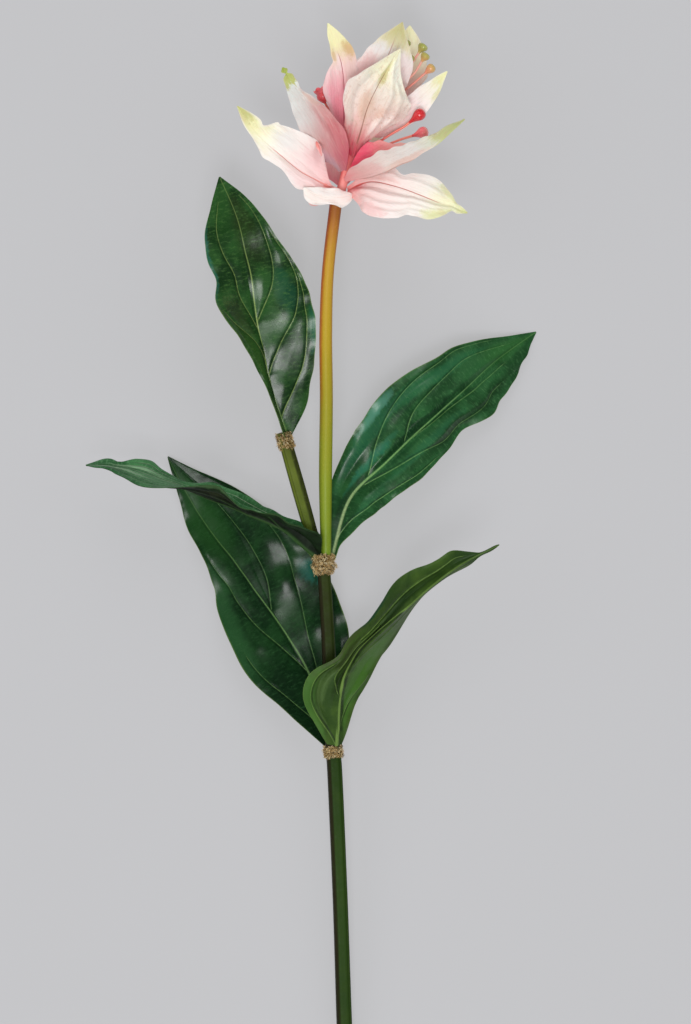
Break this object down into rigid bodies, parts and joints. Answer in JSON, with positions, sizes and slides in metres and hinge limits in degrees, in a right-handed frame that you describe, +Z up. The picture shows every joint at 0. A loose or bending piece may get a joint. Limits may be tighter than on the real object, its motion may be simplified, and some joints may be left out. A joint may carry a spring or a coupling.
{
  "type": "rose grape flower stem",
  "caption": "Cut artificial rose grape flower lying down: layered pink bracts and berry buds on a long stalk, broad ribbed leaves and fibre tufts at the joints.",
  "frame": {"origin": "centre of the lying flower's footprint, on the surface it rests on", "axes": "+Z up, +Y along the stem from the cut end towards the bloom, +X to the right seen from above"},
  "size_m": [0.3394, 0.8136, 0.1145],
  "materials": {
    "stem_green": "dark olive green plastic, lightly ridged",
    "stalk_ochre": "yellow-green plastic turning orange towards the bloom",
    "axis_coral": "soft coral plastic",
    "leaf_dark": "dark green, glossy upper face with pale veins",
    "leaf_pale": "lighter green, matte underside with raised veins",
    "bract_pink": "soft white-pink, deeper pink at the base and yellow-green at the tip",
    "fibre_tan": "tan curled fibre",
    "bud_red": "glossy red berry-like buds on coral stalks",
    "bud_green": "olive green buds with orange flushes on coral stalks"
  },
  "bodies": {
    "root": {"stem": "stem_green", "side_branch": "stem_green", "flower_stalk": "stalk_ochre", "flower_axis": "axis_coral", "leaf_branch": "leaf_dark", "leaf_right": "leaf_dark", "leaf_low_left": "leaf_dark", "leaf_left": "leaf_dark", "leaf_front": "leaf_pale", "bract_low_left": "bract_pink", "bract_low_right": "bract_pink", "bract_back_low": "bract_pink", "bract_mid_left": "bract_pink", "bract_mid_right": "bract_pink", "bract_front": "bract_pink", "bract_left_fold": "bract_pink", "bract_right_up": "bract_pink", "bract_back_high": "bract_pink", "bract_top_back": "bract_pink", "bract_top": "bract_pink", "tuft_lower": "fibre_tan", "tuft_middle": "fibre_tan", "tuft_branch": "fibre_tan", "bud_spray_right": "bud_red", "bud_spray_left": "bud_red", "bud_spray_top": "bud_green", "bud_spray_back": "bud_red"}
  },
  "joints": []
}
